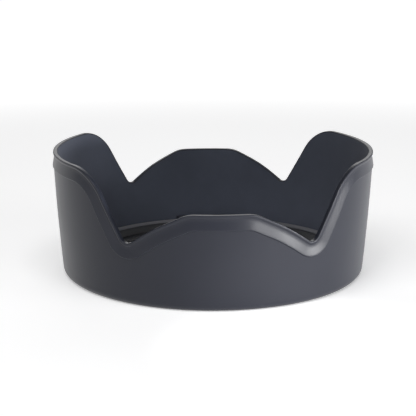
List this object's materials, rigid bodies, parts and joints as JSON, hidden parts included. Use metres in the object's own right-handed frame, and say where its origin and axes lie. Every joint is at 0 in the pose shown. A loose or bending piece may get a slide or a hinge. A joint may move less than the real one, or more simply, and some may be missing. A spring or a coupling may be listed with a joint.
{
  "type": "lens hood",
  "caption": "Petal lens hood with a raised rim band, matt lined inside, screwed-in bayonet ring and a sprung release button that lifts a lock tooth.",
  "frame": {"origin": "centre of the foot plane, on the optical axis", "axes": "+Z towards the petals along the optical axis, +X through the middle of a tall petal, +Y through the middle of the short petal above the lock button"},
  "size_m": [0.1016, 0.1008, 0.0392],
  "materials": {
    "shell_plastic": "moulded, finely textured, satin matt",
    "lining_flock": "flocked, dead matt",
    "ring_plastic": "moulded, satin",
    "screw_steel": "black zinc plated",
    "button_plastic": "moulded, satin, ribbed",
    "lever_plastic": "moulded, smooth",
    "pin_steel": "ground",
    "spring_steel": "drawn wire",
    "mark_paint": "filled paint"
  },
  "bodies": {
    "root": {"hood_shell": "shell_plastic", "flock_lining": "lining_flock", "mount_ring": "ring_plastic", "ring_screw_1": "screw_steel", "ring_screw_2": "screw_steel", "ring_screw_3": "screw_steel", "ring_screw_4": "screw_steel", "lever_pin": "pin_steel", "lever_spring": "spring_steel", "index_dot": "mark_paint", "lock_mark": "mark_paint"},
    "button": {"lock_button": "button_plastic"},
    "lever": {"lock_lever": "lever_plastic"}
  },
  "joints": [
    {"name": "button_press", "type": "slide", "parent": "root", "child": "button", "axis": [0, -1, 0], "range_m": [0, 0.001], "stiffness_N_per_m": 400, "springref_m": -0.0015},
    {"name": "lever_swing", "type": "hinge", "parent": "root", "child": "lever", "pos_m": [0.0022, 0.04369, 0.0027], "axis": [0, 0, 1], "range_deg": [0, 9.6], "deforming": ["lever_spring"]}
  ],
  "couplings": [
    {"joint": "lever_swing", "follows": "button_press", "rad_per_m": 166.7}
  ]
}
